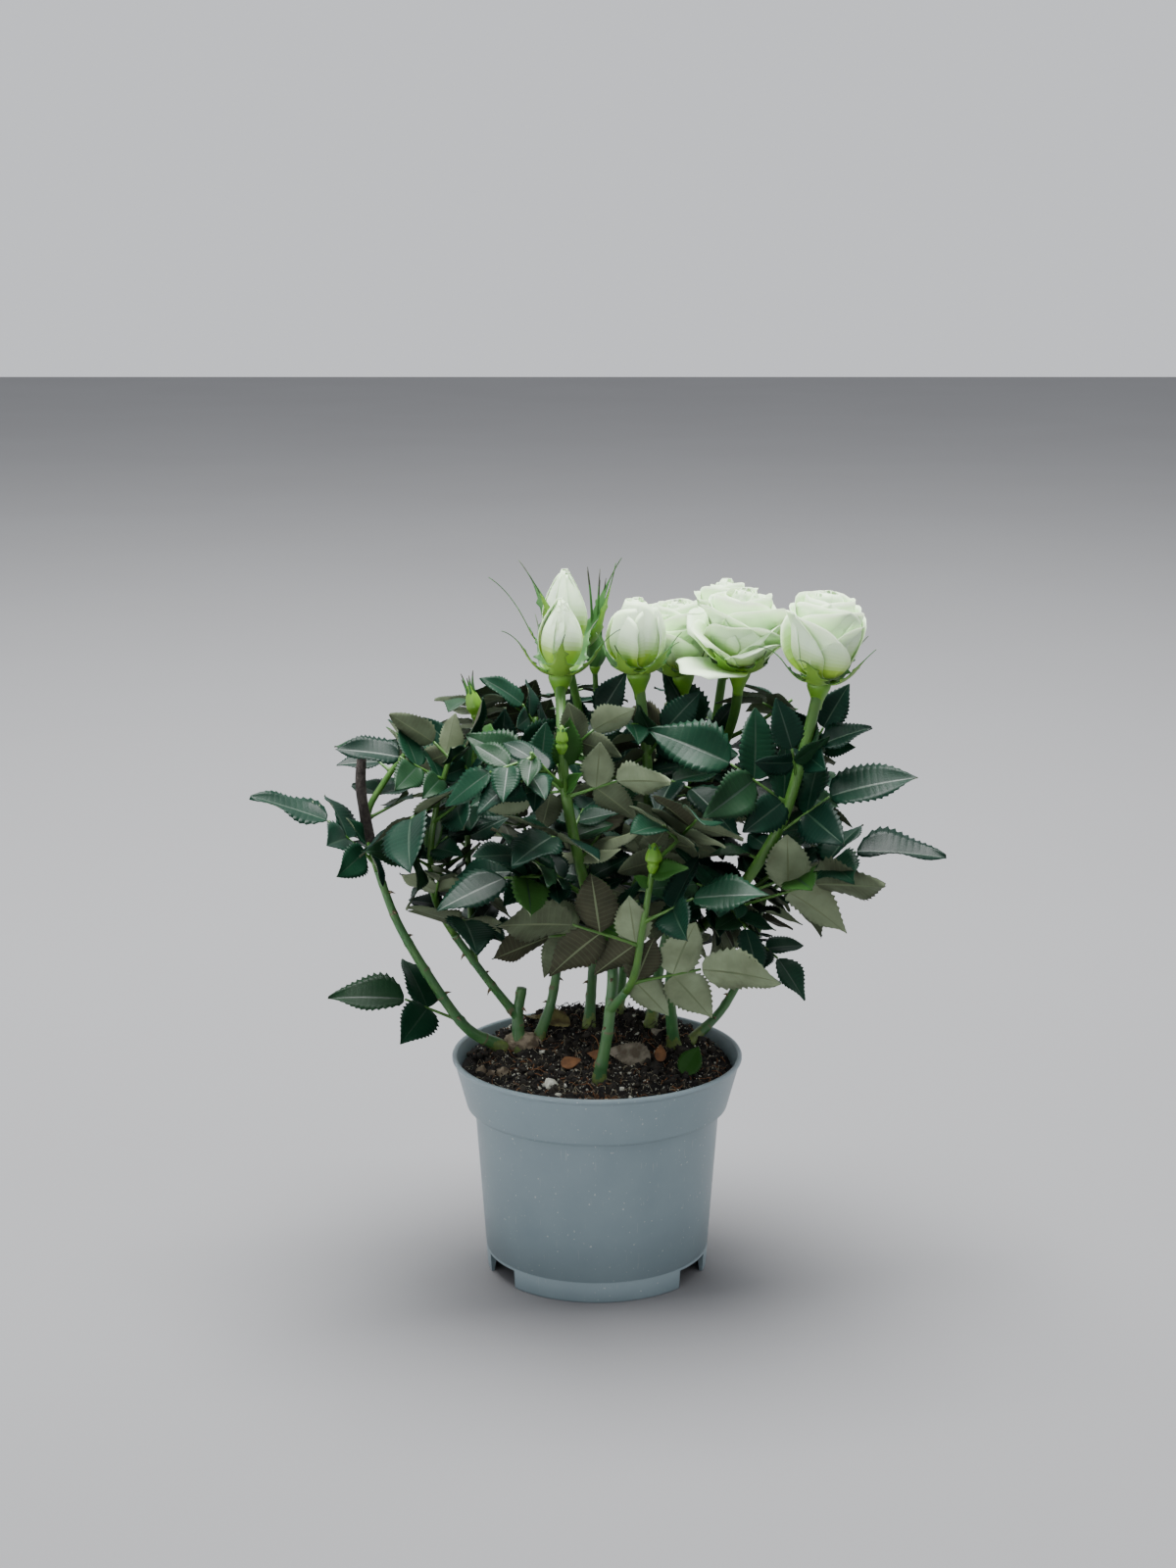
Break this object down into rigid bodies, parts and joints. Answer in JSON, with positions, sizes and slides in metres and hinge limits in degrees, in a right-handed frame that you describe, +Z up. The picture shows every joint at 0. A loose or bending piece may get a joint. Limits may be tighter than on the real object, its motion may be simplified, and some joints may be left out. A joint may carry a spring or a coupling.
{
  "type": "potted miniature rose bush",
  "caption": "Miniature rose bush with white flowers and dark green leaves, growing in a round grey plastic nursery pot.",
  "frame": {"origin": "on the ground under the middle of the pot, at the plant's bottom centre", "axes": "+Z up, +X to the right and -Y towards the viewer of the open front, where the centre cane and the low leaves show"},
  "size_m": [0.3001, 0.1905, 0.3164],
  "materials": {
    "pot": "satin, slightly scuffed",
    "soil": "rough moist peat with white grains",
    "cane": "smooth green bark",
    "old_wood": "dry cracked bark",
    "dead_wood": "dry dark bark",
    "leaves": "leathery, slightly glossy",
    "petals": "soft satin"
  },
  "bodies": {
    "root": {"cane_back": "cane", "cane_back_right": "cane", "cane_centre": "cane", "cane_centre_side": "cane", "cane_left_inner": "cane", "cane_left_long": "cane", "cane_left_rear": "cane", "cane_left_stub": "cane", "cane_rear": "cane", "cane_right": "cane", "cane_right_low": "cane", "dead_stub": "dead_wood", "knuckle": "old_wood", "leaf_low": "leaves", "petals_back_bud": "petals", "petals_bloom_back": "petals", "petals_bloom_back_left": "petals", "petals_bloom_left": "petals", "petals_bloom_middle": "petals", "petals_bloom_right": "petals", "petals_front_bud": "petals", "pot": "pot", "shoot_back": "leaves", "shoot_back_right": "leaves", "shoot_centre": "leaves", "shoot_centre_right": "leaves", "shoot_centre_side": "leaves", "shoot_left_bud": "leaves", "shoot_left_inner": "leaves", "shoot_left_long": "leaves", "shoot_left_rear": "leaves", "shoot_rear": "leaves", "shoot_right": "leaves", "shoot_right_low": "leaves", "soil": "soil"}
  },
  "joints": []
}
